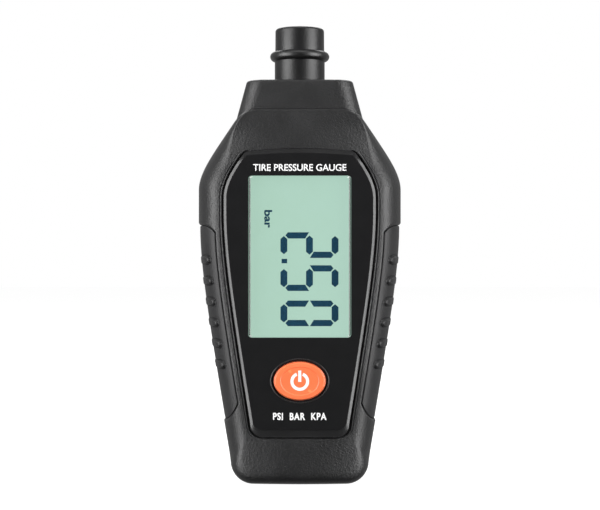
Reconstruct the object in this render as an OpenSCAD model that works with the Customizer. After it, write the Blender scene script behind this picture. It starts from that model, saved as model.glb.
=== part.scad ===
// Digital tire pressure gauge: a two-piece case with a neck, soft side grips, a display behind a
// framed face plate, one oval power button and a nozzle that pushes onto a tire valve.
// Upright, +Z along its length with the nozzle up, face towards -Y, foot on z = 0.

/* [Case] */
// Height from the foot to the mouth of the nozzle
total_h = 145; // [144:0.5:150]
// Half width at the widest place
half_w = 32.4; // [32:0.1:33.5]
// Half depth, from the parting plane to the front or the back
half_d = 15.5; // [15.5:0.1:17]
// Height of the body's top edge, below the neck
body_h = 119.2; // [119:0.1:120.5]
// Height of the top of the neck
neck_h = 127.7; // [127:0.1:128.5]
// Height below which the flanks draw in towards the foot
flank_z = 82; // [80:0.5:84]
// Height above which the shoulders draw in towards the neck
shoulder_z = 93; // [92:0.5:94]
// Corner radius of the foot
foot_r = 7.3; // [6:0.1:7.5]
// Width of the rounding between the flank and the flat front
round_w = 6.8; // [6.5:0.1:7]
// Wall thickness of the case front
front_wall = 2.2; // [2:0.1:2.4]

/* [Grips] */
// How far the grip surface lies below the case surface
grip_sink = 0.45; // [0.4:0.05:0.8]
// How far each rib stands above the grip surface
rib_rise = 0.25; // [0.2:0.05:0.6]
// Number of ribs on each side
ribs = 6; // [4:1:6]
// Distance between ribs
rib_pitch = 6.6; // [6:0.1:7]

/* [Face] */
// Half width of the face plate at its widest place
plate_half_w = 23.8; // [23.5:0.1:24]
// Height of the lower edge of the face plate
plate_lo = 15.4; // [15:0.1:16]
// Height of the middle of its upper edge
plate_hi = 105.5; // [105:0.1:106]
// Width of the groove around the plate
groove_w = 0.75; // [0.6:0.05:0.9]
// Width of the display window
window_w = 32.1; // [30:0.1:32.5]
// Height of the lower edge of the window
window_lo = 46.5; // [46:0.1:47]
// Height of the upper edge of the window
window_hi = 97.1; // [96:0.1:97.5]
// Height of the middle of the button
button_z = 33; // [32:0.1:34]
// Half width of the button
button_a = 8.1; // [7.5:0.1:8.3]
// Half height of the button
button_b = 6; // [5.5:0.1:6.1]
// Travel of the button
button_travel = 0.5; // [0.3:0.05:0.6]

/* [Nozzle] */
// Outer radius of the nozzle
nozzle_r = 8.03; // [7.8:0.01:8.1]
// Radius of the socket that takes the tire valve
socket_r = 4.15; // [4.05:0.05:4.3]
// Height of the middle of the rubber ring
ring_z = 136; // [135.5:0.1:136.5]
// Section radius of the rubber ring
ring_r = 1.6; // [1.4:0.05:1.7]

/* [Battery] */
// Cell diameter
cell_d = 10.5; // [10.3:0.1:10.5]
// Cell length with its nub
cell_h = 44.5; // [43.3:0.1:44.5]
// How far the battery door slides down
door_travel = 9; // [5:0.5:9]

/* [Hidden] */
$fn = 64;

case_grey = [0.20, 0.20, 0.21];
grip_grey = [0.15, 0.15, 0.16];
black = [0.07, 0.07, 0.08];
steel = [0.75, 0.76, 0.78];
far = 60;                    // longer than any cut needs to be

// ---- case outline -----------------------------------------------------------------------------

flank_slope = 0.175;         // how steeply the flanks draw in, far below flank_z
flank_ease = 3.37;           // how softly they begin to
shoulder_slope = 0.8;
shoulder_ease = 7.2;
top_r = 9;                   // corner radius of the body's top edge
top_round = 1.6;             // width of the rounding there
foot_round = 7.5;            // width of the rounding at the foot
flat_corner_r = 2.6;         // corner radius of the flat front at the foot
crown_z = 106.5;             // the front leans back above this height
crown_lean = 0.21;
section_power = 2.3;         // superellipse power of the rounding
foot_power = 5;              // and at the foot, which is flatter
foot_trim = 0.25;            // cut off the foot so that it stands
arc_steps = 5;
flank_steps = 26;
section_steps = 6;

// Drop of a hyperbola that starts level and ends in a straight slope
function drop(run, slope, ease) = sqrt(ease * ease + pow(slope * run, 2)) - ease;
function flank_x(z) = half_w - (z < flank_z ? drop(flank_z - z, flank_slope, flank_ease)
    : z > shoulder_z ? drop(z - shoulder_z, shoulder_slope, shoulder_ease) : 0);
function unit(v) = v / norm(v);
// Outward normal of the outline at a height, as [x, z]
function flank_n(z) = unit([0.1, flank_x(z - 0.05) - flank_x(z + 0.05)]);
function inward(z, w) = [flank_x(z), z] - w * flank_n(z);
function arc(c, r, a0, a1, n) = [for (i = [0:n]) let (a = a0 + (a1 - a0) * i / n) c + r * [cos(a), sin(a)]];
function mix(a, b, t) = a + (b - a) * t;
function smooth(t) = let (s = min(1, max(0, t))) s * s * (3 - 2 * s);

foot_join = foot_r + foot_r * flank_n(foot_r)[1];
foot_c = [flank_x(foot_join) - foot_r * flank_n(foot_join)[0], foot_r - foot_trim];
top_join = body_h - top_r + top_r * flank_n(body_h - 2.4)[1];
top_c = [flank_x(top_join) - top_r * flank_n(top_join)[0], body_h - top_r];
function angle(z) = asin(flank_n(z)[1]);

// Right half of the outline at the parting plane, moved inwards by d
function edge_line(d) = concat(
    arc(foot_c, foot_r - d, -90, angle(foot_join), arc_steps),
    [for (i = [1:flank_steps - 1]) inward(mix(foot_join, top_join, i / flank_steps), d)],
    arc(top_c, top_r - d, angle(top_join), 90, arc_steps));

// Width of the rounding between that outline and the flat front
function rounding(z, d) = max(mix(round_w, top_round, smooth((z - 103) / 13)), d + 0.4);
flat_c_z = foot_round + flat_corner_r;
flat_join = flat_c_z + (round_w - flat_corner_r) * flank_n(flat_c_z)[1];
flat_c = inward(flat_join, round_w) - flat_corner_r * flank_n(flat_join);
// Right half of the outline of the flat front
function flat_line(d) = concat(
    arc([flat_c[0], flat_c_z], flat_corner_r, -90, angle(flat_join), arc_steps),
    [for (i = [1:flank_steps - 1]) let (z = mix(flat_join, top_join, i / flank_steps))
        inward(z, rounding(z, d))],
    arc(top_c, top_r - rounding(body_h, d), angle(top_join), 90, arc_steps));

function front_depth(z) = half_d - crown_lean * max(0, z - crown_z);
function curve(c, z) = sign(c) * pow(abs(c), 2 / mix(foot_power, section_power, smooth(z / 10)));
// Whole loop of the section at angle a, from -90 at the flat front to 90 at the flat back
function section_ring(a, d, dy) =
    let (e = edge_line(d), f = flat_line(d), n = len(e) - 1,
        half = [for (i = [0:n]) let (z = e[i][1], p = mix(f[i], e[i], curve(cos(a), z)))
            [p[0], curve(sin(a), z) * (front_depth(f[i][1]) - dy), p[1]]])
    concat(half, [for (i = [n:-1:0]) [-half[i][0], half[i][1], half[i][2]]]);

// Solid inside the case surface, d in from the flanks and dy in from the flat faces.
// Sections run from angle a0 to a1, where 0 is the parting plane.
module body(d, dy, a0, a1) {
    steps = round(section_steps * (a1 - a0) / 90);
    rings = [for (k = [0:steps]) section_ring(mix(a0, a1, k / steps), d, dy)];
    n = len(rings[0]);
    half_n = n / 2;
    walls = [for (k = [0:steps - 1], i = [0:n - 1])
        [k * n + i, k * n + (i + 1) % n, (k + 1) * n + (i + 1) % n, (k + 1) * n + i]];
    // The flat front or back is closed by strips from side to side, the parting plane by one face
    low = a0 == 0 ? [[for (i = [n - 1:-1:0]) i]]
        : [for (i = [0:half_n - 2]) [i, n - 1 - i, n - 2 - i, i + 1]];
    high = a1 == 0 ? [[for (i = [0:n - 1]) steps * n + i]]
        : [for (i = [0:half_n - 2]) [for (j = [i + 1, n - 2 - i, n - 1 - i, i]) steps * n + j]];
    polyhedron([for (r = rings, p = r) p], concat(walls, low, high), 4);
}
module front_body(d, dy) { body(d, dy, -90, 0); }
module rear_body(d, dy) { body(d, dy, 0, 90); }
module whole_body(d) { body(d, d, -90, 90); }

// ---- helpers ----------------------------------------------------------------------------------

// Extrudes a drawing in x and z from y0 to y1
module slab(y0, y1) { translate([0, y1, 0]) rotate([90, 0, 0]) linear_extrude(y1 - y0) children(); }
module peg(x, z, r, y0, y1) { translate([x, y1, z]) rotate([90, 0, 0]) cylinder(h = y1 - y0, r = r); }
module block(x0, x1, y0, y1, z0, z1) { translate([x0, y0, z0]) cube([x1 - x0, y1 - y0, z1 - z0]); }
module rounded(x0, x1, z0, z1, r) {
    translate([x0 + r, z0 + r]) offset(r) square([x1 - x0 - 2 * r, z1 - z0 - 2 * r]);
}
module oval(a, b) { translate([0, button_z]) scale([a / b, 1]) circle(b, $fn = 72); }
function mirrored(half) = concat(half, [for (i = [len(half) - 1:-1:0]) [-half[i][0], half[i][1]]]);

// ---- neck and nozzle seat -------------------------------------------------------------------------

neck_base = 108;             // the neck starts inside the body
neck_taper = 0.267;
neck_half_w = 16.8;
neck_half_d = 10.4;
neck_corner = 5.5;
neck_edge = 1;
seat_r = 9.4;                // hollow inside the neck
neck_roof = 2.1;
nozzle_gap = 0.07;

function neck_ring(z, inset) =
    let (a = neck_half_w + neck_taper * (neck_h - z) - inset, b = neck_half_d + 0.08 * (neck_h - z) - inset,
        r = neck_corner - inset)
    [for (q = [0:3], i = [0:6])
        let (t = q * 90 + i * 15, sx = q == 0 || q == 3 ? 1 : -1, sy = q < 2 ? 1 : -1)
        [sx * (a - r) + r * cos(t), sy * (b - r) + r * sin(t), z]];
module stack(rings) {
    n = len(rings[0]);
    polyhedron([for (r = rings, p = r) p], concat(
        [[for (i = [0:n - 1]) i]],
        [for (k = [0:len(rings) - 2], i = [0:n - 1])
            [(k + 1) * n + i, (k + 1) * n + (i + 1) % n, k * n + (i + 1) % n, k * n + i]],
        [[for (i = [n - 1:-1:0]) (len(rings) - 1) * n + i]]), 4);
}
module neck() {
    stack([neck_ring(neck_base, 0), for (a = [0:22.5:90]) neck_ring(neck_h - neck_edge * (1 - sin(a)),
        neck_edge * (1 - cos(a)))]);
}
module neck_hollow() {
    translate([0, 0, neck_base - 6]) cylinder(h = neck_h - neck_roof - neck_base + 6, r = seat_r);
    translate([0, 0, neck_base]) cylinder(h = total_h, r = nozzle_r + nozzle_gap);
}
module front_half() { block(-far, far, -far, 0, -1, total_h); }
module rear_half() { block(-far, far, 0, far, -1, total_h); }

module below_foot() { block(-far, far, -far, far, -5, 0); }

// ---- fasteners: places as [x, z] --------------------------------------------------------------------

case_screws = [[-13, 112], [13, 112], [-16.6, 11.5], [16.6, 11.5]];
board_screws = [[-15, 102], [15, 102], [-12.8, 40.9], [12.8, 40.9]];
board_pads = [[-15, 26], [15, 26], [-18.5, 90], [18.5, 90]];
case_boss_r = 3;
screw_r = 1.2;
head_r = 2.3;
head_h = 1.6;
head_y = 9;                  // seat of the case screw heads
board_post_r = 1.9;
board_screw_r = 0.75;

// ---- depths of the stack behind the face --------------------------------------------------------

overlay_t = 0.3;
plate_y = -half_d + overlay_t;          // front of the face plate
flange_lip = 1.4;                       // flange behind the case front
flange_y0 = -half_d + front_wall + 0.3;
flange_y1 = flange_y0 + 1.2;
lens_front = -half_d + 0.1;  // the window's raised middle, almost level with the film
lens_y0 = plate_y + 1.2;     // its flange
lens_y1 = lens_y0 + 1.2;
glass_y0 = lens_y1 + 0.1;
glass_y1 = glass_y0 + 1.6;
board_y0 = -8.6;
board_y1 = -7;

// ---- grips -----------------------------------------------------------------------------------------

grip_depth = 2;              // depth of the recess that holds the grip
grip_inset = 6;              // distance from the outline to the grip's inner edge
rib_half = 1.15;
rib_top_z = 70.7;
rib_inset = 2.25;

// Drawing of the right grip in x and z, grown by g
module grip_zone(g) {
    inner = [for (i = [0:16]) let (z = mix(25.8, 79.2, i / 16)) [flank_x(z) - grip_inset, z]];
    offset(delta = g) polygon(concat([[far, 20], [24.2, 20], [20.9, 22.6]], inner,
        [[27.7, 80.2], [28.9, 80.9], [32.4, 81.7], [far, 82.4]]));
}
module rib_bars() {
    for (k = [0:ribs - 1]) {
        z = rib_top_z - k * rib_pitch;
        x = flank_x(z) - rib_inset;
        translate([x, z]) circle(rib_half, $fn = 24);
        translate([x, z - rib_half]) square([far, 2 * rib_half]);
    }
}
module grip_recess() {
    difference() {
        slab(-far, far) { grip_zone(0); mirror([1, 0]) grip_zone(0); }
        whole_body(grip_depth);
    }
}
module side_grip() {
    color(grip_grey) difference() {
        union() {
            intersection() { slab(-far, far) grip_zone(-0.05); whole_body(grip_sink); }
            intersection() { slab(-far, far) rib_bars(); whole_body(grip_sink - rib_rise); }
        }
        whole_body(grip_depth - 0.05);
    }
}
module side_grip_right() { side_grip(); }
module side_grip_left() { mirror([1, 0, 0]) side_grip(); }

// ---- face plate ----------------------------------------------------------------------------------

plate_r = 4;                 // lower corners of the plate
plate_top_r = 2;
plate_wide_z0 = 86;
plate_wide_z1 = 90;
plate_arch = 0.8;
bevel_side = 0.85;
bevel_lo = 2.2;
bevel_hi = 1.4;
bevel_drop = 0.6;

function plate_x(z) = plate_half_w - (z < plate_wide_z0 ? drop(plate_wide_z0 - z, 0.17, 3.05)
    : z > plate_wide_z1 ? drop(z - plate_wide_z1, 1.05, 13.8) : 0);
function plate_n(z) = unit([0.1, plate_x(z - 0.05) - plate_x(z + 0.05)]);
// Right half of the plate's outline, moved in by side, lo and hi at its sides, lower and upper edge
function plate_line(side, lo, hi) =
    let (r = plate_r - side, c_z = plate_lo + lo + r, n0 = plate_n(c_z),
        c_x = plate_x(c_z) - side - r, rt = max(0.5, plate_top_r - side),
        t_z = plate_hi - plate_arch - hi - rt,
        join = t_z + rt * plate_n(t_z)[1], n1 = plate_n(join),
        t = [plate_x(join), join] - (side + rt) * n1)
    concat(
        [for (p = arc([c_x, c_z], r, -90, asin(n0[1]), 6)) p],
        [for (i = [1:19]) let (z = mix(c_z, join, i / 20)) [plate_x(z), z] - side * plate_n(z)],
        [for (p = arc(t, rt, asin(n1[1]), 85, 4)) p],
        [for (i = [1:3]) let (x = t[0] * (1 - i / 4)) [x, plate_hi - hi - plate_arch * pow(x / t[0], 2)]]);
module plate(side, lo, hi) { polygon(mirrored(plate_line(side, lo, hi))); }
module plate_grown(g) { plate(-g, -g, -g); }
module window_hole(g) {
    rounded(-window_w / 2 - g, window_w / 2 + g, window_lo - g, window_hi + g, 1 + g / 2);
}
button_gap = 0.9;            // the oval opening is wider than the button by this much
module button_hole() { oval(button_a + button_gap, button_b + 0.7); }

lens_grow = 1.3;
glass_grow = 2;
module face_bezel() {
    outer = mirrored(plate_line(0, 0, 0));
    inner = mirrored(plate_line(bevel_side, bevel_lo, bevel_hi));
    color(black) difference() {
        union() {
            stack([
                [for (p = outer) [p[0], flange_y1, p[1]]],
                [for (p = outer) [p[0], plate_y + bevel_drop, p[1]]],
                [for (p = inner) [p[0], plate_y, p[1]]]]);
            slab(flange_y0, flange_y1) plate_grown(groove_w + flange_lip);
            for (p = board_screws) peg(p[0], p[1], board_post_r, flange_y1 - 0.5, board_y0);
        }
        slab(-far, far) { window_hole(0); button_hole(); }
        slab(lens_y0, far) window_hole(lens_grow + 0.1);
        slab(lens_y1, far) window_hole(glass_grow + 0.15);
        slab(shoulder_y, far) oval(button_a + 2.6, button_b + 2.4);
        for (p = board_screws) peg(p[0], p[1], board_screw_r + 0.05, flange_y1 - 0.3, 0);
    }
}
module face_overlay() {
    color([0.05, 0.05, 0.055]) slab(-half_d, plate_y) difference() {
        plate(bevel_side + 0.15, bevel_lo + 0.15, bevel_hi + 0.15);
        window_hole(0.05);
        offset(0.05) button_hole();
    }
}

// ---- display -----------------------------------------------------------------------------------------

zebra_x = window_w / 2 - 0.45;
zebra_w = 2;
led_half = 1.6;
guide_y0 = glass_y1 + 0.05;
guide_y1 = -9;
module display_window() {
    color([0.85, 0.92, 0.9, 0.35]) {
        slab(lens_front, lens_y0) window_hole(-0.1);
        slab(lens_y0, lens_y1) window_hole(lens_grow);
    }
}
module lcd_glass() { color([0.68, 0.81, 0.74]) slab(glass_y0, glass_y1) window_hole(glass_grow); }
module lcd_frame() {
    color("white") difference() {
        slab(glass_y1, board_y0) window_hole(2.7);
        block(-17, zebra_x - 0.4, -far, far, window_lo - 0.5, window_hi + 0.7);
        block(zebra_x - 0.05, zebra_x + zebra_w + 0.05, -far, far, window_lo + 3, window_hi - 3);
        block(-led_half - 0.3, led_half + 0.3, -far, far, window_lo - 2, window_lo);
    }
}
module light_guide() {
    color([0.9, 0.95, 0.9])
        block(-16.8, zebra_x - 0.6, guide_y0, guide_y1, window_lo - 0.3, window_hi + 0.5);
}
module zebra_strip() {
    color([0.95, 0.6, 0.65])
        block(zebra_x, zebra_x + zebra_w, glass_y1, board_y0, window_lo + 3.1, window_hi - 3.1);
}
module backlight_led() {
    color("ivory") block(-led_half, led_half, board_y0 - 1.8, board_y0, window_lo - 1.9, window_lo - 0.5);
}

// ---- circuit board ------------------------------------------------------------------------------

board_half = [[16, 20], [21.5, 56], [21.5, 101], [9.3, 108], [9.3, 110.5]];
sensor_z = 97.5;
module main_board() {
    color([0.05, 0.32, 0.18]) difference() {
        slab(board_y0, board_y1) polygon(mirrored(board_half));
        for (p = board_screws) peg(p[0], p[1], board_screw_r + 0.2, -far, far);
    }
}
module mcu_chip() { color(black) block(-13.5, -6.5, board_y1, board_y1 + 1.2, 81.5, 88.5); }
module amplifier_chip() { color(black) block(8, 12, board_y1, board_y1 + 1.5, 88, 93); }
module chip_capacitors() {
    color("tan") for (i = [0:5]) block(6 + (i % 3) * 3.4, 8 + (i % 3) * 3.4, board_y1, board_y1 + 0.9,
        76 + floor(i / 3) * 4, 77.3 + floor(i / 3) * 4);
}
module crystal_can() {
    color(steel) translate([-14.5, board_y1 + 1.5, 92]) cylinder(h = 6, r = 1.5);
}

// ---- button ------------------------------------------------------------------------------------------

button_back = -11.9;
shoulder_y = flange_y0 + 0.2; // the button's flange rests against this step in the face plate
button_dome = 0.7;           // how far the button stands above the face
switch_half = 3;
switch_front = -11;
plunger_r = 1.7;
module power_button() {
    color([1, 0.5, 0.29]) {
        slab(-half_d, button_back) oval(button_a, button_b);
        for (k = [0:3]) slab(-half_d - button_dome * sin(22.5 * (k + 1)), -half_d)
            oval(button_a - 1.2 * (1 - cos(22.5 * k)), button_b - 1.2 * (1 - cos(22.5 * k)));
        slab(shoulder_y + 0.05, button_back) oval(button_a + 2.1, button_b + 1.9);
    }
}
module switch_body() {
    color(steel) difference() {
        translate([0, (switch_front + board_y0) / 2, button_z])
            cube([2 * switch_half, board_y0 - switch_front, 2 * switch_half], center = true);
        peg(0, button_z, plunger_r + 0.1, switch_front - 1, switch_front + 1.2);
    }
}
module switch_plunger() { color(black) peg(0, button_z, plunger_r, button_back, switch_front + 0.5); }

// ---- nozzle ----------------------------------------------------------------------------------------

neck_top_in = neck_h - neck_roof;
flange_h = 2.7;
seat_gap = 0.1;
barb_r = 1.6;
barb_z = 111.5;
seal_z = 132.5;
seal_h = 3;
bore_r = 5.5;
retainer_h = 8.8;
relief_r = 4.7;              // wider room above the seal
relief_h = 1.9;
pin_rise = 1.7;              // how far the pin stands above the seal
mouth_edge = 1;
module nozzle_body() {
    color(case_grey) difference() {
        union() {
            rotate_extrude() polygon(concat(
                [[0, neck_top_in - 6], [nozzle_r, neck_top_in - 6], [nozzle_r, ring_z],
                    [nozzle_r - 0.13, ring_z + 1.7]],
                arc([nozzle_r - 0.2 - mouth_edge, total_h - mouth_edge], mouth_edge, 0, 90, 6),
                [[0, total_h]]));
            translate([0, 0, neck_top_in - seat_gap - flange_h]) cylinder(h = flange_h, r = seat_r - 0.15);
            translate([0, 0, barb_z]) cylinder(h = neck_top_in - 6 - barb_z, r = barb_r);
        }
        translate([0, 0, ring_z]) rotate_extrude() translate([nozzle_r - 0.13, 0]) circle(ring_r + 0.05);
        translate([0, 0, seal_z]) cylinder(h = far, r = bore_r);
        translate([0, 0, seal_z - 3.5]) cylinder(h = far, r = 3.5);
        translate([0, 0, barb_z - 1]) cylinder(h = far, r = 0.8);
    }
}
module nozzle_ring() {
    color([0.1, 0.1, 0.1]) translate([0, 0, ring_z]) rotate_extrude()
        translate([nozzle_r - 0.13, 0]) circle(ring_r);
}
module valve_seal() {
    color([0.12, 0.12, 0.13]) translate([0, 0, seal_z]) difference() {
        cylinder(h = seal_h, r = bore_r - 0.05);
        translate([0, 0, -1]) cylinder(h = seal_h + 2, r = 1.6);
    }
}
module seal_retainer() {
    color(steel) translate([0, 0, seal_z + seal_h]) difference() {
        cylinder(h = retainer_h, r = bore_r - 0.05);
        translate([0, 0, -1]) cylinder(h = retainer_h + 2, r = socket_r);
        translate([0, 0, -1]) cylinder(h = relief_h + 1, r = relief_r);
    }
}
module depressor_pin() {
    color([0.78, 0.62, 0.3]) difference() {
        union() {
            translate([0, 0, seal_z - 3.45]) cylinder(h = 1.2, r = 3.4);
            translate([0, 0, seal_z - 2.5]) cylinder(h = 2.5 + seal_h + pin_rise, r = 0.9);
        }
        for (a = [0:120:240]) rotate(a) translate([2.1, 0, seal_z - 5]) cylinder(h = 4, r = 0.6);
    }
}

// ---- pressure path ---------------------------------------------------------------------------------

tube_r = 2.8;
tube_lo = 103.6;
tube_hi = 118;
sensor_half = 4.5;
module pressure_sensor() {
    color("white") difference() {
        union() {
            block(-sensor_half, sensor_half, board_y1, 2.8, sensor_z - sensor_half, sensor_z + sensor_half);
            translate([0, 0, sensor_z + sensor_half - 1]) cylinder(h = 7, r = barb_r);
        }
        translate([0, 0, sensor_z]) cylinder(h = far, r = 0.7);
    }
}
module air_tube() {
    color([0.8, 0.8, 0.75]) translate([0, 0, tube_lo]) difference() {
        cylinder(h = tube_hi - tube_lo, r = tube_r);
        translate([0, 0, -1]) cylinder(h = far, r = barb_r + 0.02);
    }
}
module tube_clip(z) {
    color(steel) translate([0, 0, z]) difference() {
        cylinder(h = 1.6, r = tube_r + 0.65);
        translate([0, 0, -1]) cylinder(h = 4, r = tube_r + 0.03);
    }
}
module tube_clip_lower() { tube_clip(105.2); }
module tube_clip_upper() { tube_clip(114.6); }

// ---- battery bay, cells and contacts ------------------------------------------------------------------

door_t = 1.5;
door_half = 13.2;
door_top = 71.5;
door_z0 = 0.2;               // the door stays clear of the table
door_corner = 1.5;
door_y0 = 4;                 // the door wraps the foot end down to this depth
door_gap = 0.25;
tongue_w = 0.8;
tongue_y0 = 13.85;
tongue_y1 = 14.55;
tongue_z0 = 24;
tongue_z1 = 66;
rear_wall = 2.8;
bay_half = 10.9;
bay_z0 = 19;
bay_z1 = 68.5;
bay_floor = 1.4;
bay_wall = 1.3;
cell_x = 5.4;
cell_y = 7.3;
plate_t = 0.4;
spring_h = 3.9;
tab_x = 6;

module door_zone(g, z0) { rounded(-door_half - g, door_half + g, z0, door_top + g, door_corner); }
module battery_door() {
    color(case_grey) {
        difference() {
            intersection() { rear_body(0, 0); slab(door_y0, far) door_zone(0, door_z0); }
            rear_body(door_t, door_t);
            for (k = [0:4]) block(-5, 5, half_d - 0.5, far, 60 + 1.8 * k, 60.9 + 1.8 * k);
        }
        for (s = [-1, 1]) block(s * door_half - tongue_w, s * door_half + tongue_w, tongue_y0, tongue_y1,
            tongue_z0, tongue_z1);
    }
}
module cell(x, base, up) {
    translate([x, cell_y, base]) mirror([0, 0, up ? 0 : 1]) translate([0, 0, up ? 0 : -cell_h]) {
        cylinder(h = cell_h - 1.2, r = cell_d / 2);
        cylinder(h = cell_h, r = 1.9);
    }
}
left_base = bay_z0 + 0.1 + plate_t + spring_h;
right_base = bay_z0 + 0.1 + plate_t;
module battery_left() { color([0.2, 0.35, 0.6]) cell(-cell_x, left_base, true); }
module battery_right() { color([0.2, 0.35, 0.6]) cell(cell_x, right_base, false); }

// Cone spring from z0 to z0 + h, closed loops of wire of radius 0.35 narrowing upwards
module spring(x, z0, h, wire = 0.35, turns = 4, wide = 3.8, narrow = 2.4) {
    steps = 10 * turns;
    sides = 6;
    ring = [for (k = [0:steps]) let (t = k / steps, a = 360 * turns * t, r = mix(wide, narrow, t))
        [for (i = [0:sides - 1]) let (b = 360 * i / sides, q = r + wire * cos(b))
            [q * cos(a), q * sin(a), mix(wire, h - wire, t) + wire * sin(b)]]];
    translate([x, cell_y, z0]) stack([for (k = [steps:-1:0]) ring[k]]);
}
module contact_bridge() {
    color(steel) {
        block(-bay_half + 0.5, bay_half - 0.5, 3, 11.6, bay_z0 + 0.1, bay_z0 + 0.1 + plate_t);
        spring(-cell_x, bay_z0 + 0.05 + plate_t, spring_h);
    }
}
module contact_strip(x, z0) {
    block(x - 4.2, x + 4.2, 3, 11.6, z0, z0 + plate_t);
    block(x - 1.2, x + 1.2, board_y1, 4, z0, z0 + plate_t);
}
positive_z = left_base + cell_h;
negative_z = bay_z1 - 0.05 - plate_t;
module contact_positive() { color(steel) contact_strip(-tab_x, positive_z); }
module contact_negative() {
    color(steel) {
        contact_strip(tab_x, negative_z);
        mirror([0, 0, 1]) spring(cell_x, -negative_z - 0.05, negative_z - right_base - cell_h + 0.05);
    }
}

// ---- case halves --------------------------------------------------------------------------------------

cavity_in = 3.2;
label_z0 = 79;
label_z1 = 103;
label_half = 16;
label_sink = 0.2;
module front_case() {
    color(case_grey) difference() {
        union() {
            difference() { front_body(0, 0); grip_recess(); }
            intersection() { neck(); front_half(); }
        }
        difference() {
            front_body(cavity_in, front_wall);
            for (p = case_screws) peg(p[0], p[1], case_boss_r, -far, 0);
        }
        neck_hollow();
        below_foot();
        slab(-far, -half_d / 2) plate_grown(groove_w);
        for (p = case_screws) peg(p[0], p[1], screw_r + 0.05, -9, 1);
    }
}
module rear_case() {
    color(case_grey) difference() {
        union() {
            difference() {
                union() {
                    difference() { rear_body(0, 0); grip_recess(); }
                    intersection() { neck(); rear_half(); }
                }
                difference() {
                    rear_body(cavity_in, rear_wall);
                    for (p = case_screws) peg(p[0], p[1], case_boss_r, 0, far);
                    block(-bay_half - bay_wall, bay_half + bay_wall, 0.2, far,
                        bay_z0 - bay_wall, bay_z1 + bay_wall);
                }
            }
            for (p = board_pads) peg(p[0], p[1], 1.6, board_y1 + 0.05, half_d - 1);
        }
        neck_hollow();
        below_foot();
        block(-bay_half, bay_half, bay_floor, far, bay_z0, bay_z1);
        for (s = [-1, 1]) block(s * tab_x - 1.4, s * tab_x + 1.4, -1, 3, bay_z1 - 0.75, bay_z1);
        difference() {
            slab(door_y0 - door_gap, far) door_zone(door_gap, -far);
            rear_body(door_t + 0.1, door_t + 0.1);
        }
        block(-door_half - tongue_w - 0.3, door_half + tongue_w + 0.3, tongue_y0 - 0.15, tongue_y1 + 0.15,
            tongue_z0 - door_travel - 0.4, tongue_z1 + 0.4);
        for (p = case_screws) {
            peg(p[0], p[1], head_r + 0.3, head_y, far);
            peg(p[0], p[1], screw_r + 0.3, -1, far);
        }
        slab(half_d - label_sink, far) rounded(-label_half, label_half, label_z0, label_z1, 2);
    }
}
module rear_label() {
    color([0.75, 0.75, 0.76]) slab(half_d - label_sink, half_d - 0.05)
        rounded(-label_half + 0.2, label_half - 0.2, label_z0 + 0.2, label_z1 - 0.2, 1.8);
}

// ---- screws: pan heads with a cross recess ------------------------------------------------------------

// y0 is the seat of the head and tip the end of the shank
module screw(p, y0, tip, r, hr, hh) {
    color(steel) difference() {
        union() {
            peg(p[0], p[1], r, tip, y0 + 0.1);
            peg(p[0], p[1], hr, y0, y0 + hh);
        }
        for (a = [0, 90]) translate([p[0], y0 + hh, p[1]]) rotate([0, a, 0])
            cube([hr * 1.2, hh, hr * 0.28], center = true);
    }
}
module case_screw(i) { screw(case_screws[i], head_y, -8, screw_r, head_r, head_h); }
module board_screw(i) { screw(board_screws[i], board_y1, flange_y1, board_screw_r, 1.5, 1); }

front_case();
rear_case();
side_grip_left();
side_grip_right();
face_bezel();
face_overlay();
display_window();
lcd_glass();
lcd_frame();
light_guide();
zebra_strip();
main_board();
mcu_chip();
amplifier_chip();
chip_capacitors();
crystal_can();
backlight_led();
power_button();
switch_body();
switch_plunger();
pressure_sensor();
air_tube();
tube_clip_lower();
tube_clip_upper();
nozzle_body();
nozzle_ring();
valve_seal();
seal_retainer();
depressor_pin();
battery_door();
battery_left();
battery_right();
contact_bridge();
contact_positive();
contact_negative();
rear_label();
for (i = [0:3]) {
    case_screw(i);
    board_screw(i);
}
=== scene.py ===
"""Looks of a digital tire pressure gauge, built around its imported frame.

Shapes are worked out in millimetres as numpy arrays, as functions of two parameters or as profiles
carried along a path, and become meshes in metres. +Z is up along the gauge, the face looks to -Y.
"""

import math

import bmesh
import bpy
import numpy as np
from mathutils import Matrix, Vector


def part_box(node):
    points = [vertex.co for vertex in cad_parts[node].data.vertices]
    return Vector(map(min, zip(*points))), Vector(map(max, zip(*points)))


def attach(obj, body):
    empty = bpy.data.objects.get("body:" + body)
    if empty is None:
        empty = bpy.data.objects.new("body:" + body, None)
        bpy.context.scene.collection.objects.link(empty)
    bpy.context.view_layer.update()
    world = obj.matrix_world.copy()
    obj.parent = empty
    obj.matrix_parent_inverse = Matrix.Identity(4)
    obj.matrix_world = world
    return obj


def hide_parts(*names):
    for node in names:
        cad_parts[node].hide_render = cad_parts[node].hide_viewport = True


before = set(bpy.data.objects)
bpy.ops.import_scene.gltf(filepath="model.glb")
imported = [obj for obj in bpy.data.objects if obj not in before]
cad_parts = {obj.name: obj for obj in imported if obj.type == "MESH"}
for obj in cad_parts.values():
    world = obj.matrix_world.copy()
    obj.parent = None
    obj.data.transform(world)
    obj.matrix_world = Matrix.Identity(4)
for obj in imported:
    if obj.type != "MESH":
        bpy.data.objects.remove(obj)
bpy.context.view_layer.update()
MM = 0.001


def box_mm(node):
    """Lowest and highest corner of a node of the frame, in millimetres."""
    low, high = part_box(node)
    return np.array(low) / MM, np.array(high) / MM


# ---- sizes ------------------------------------------------------------------------------------

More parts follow.
